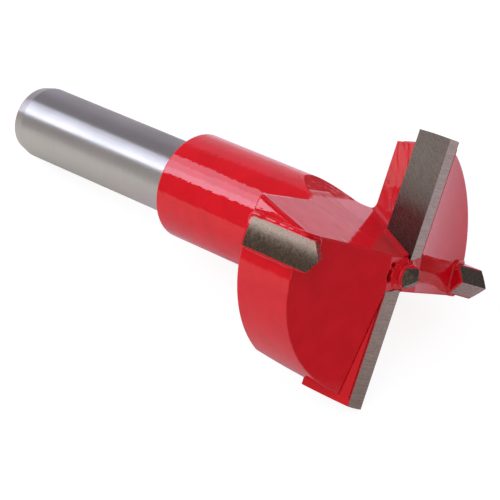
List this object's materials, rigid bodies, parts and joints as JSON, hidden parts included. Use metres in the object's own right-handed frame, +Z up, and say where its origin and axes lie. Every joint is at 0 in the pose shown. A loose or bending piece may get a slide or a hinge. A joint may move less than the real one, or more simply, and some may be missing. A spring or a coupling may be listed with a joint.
{
  "type": "hinge boring bit",
  "caption": "Carbide-tipped boring bit for flat-bottomed hinge cup holes, with a winged cutting head, rim spurs, a centre point and a plain round shank.",
  "frame": {"origin": "centre of the bounding box's underside, on the table that the bit lies on", "axes": "+Z up; +X along the bit as it lies, from the shank towards the tip; the bit's own axis rises about 8 degrees towards the head"},
  "size_m": [0.0704, 0.0332, 0.0285],
  "materials": {
    "lacquered_steel": "glossy red lacquer on the head and neck, the shank ground bare",
    "carbide": "ground"
  },
  "bodies": {
    "root": {"cutter_body": "lacquered_steel", "main_cutter_a": "carbide", "main_cutter_b": "carbide", "spur_a": "carbide", "spur_b": "carbide", "centre_point": "carbide"}
  },
  "joints": []
}
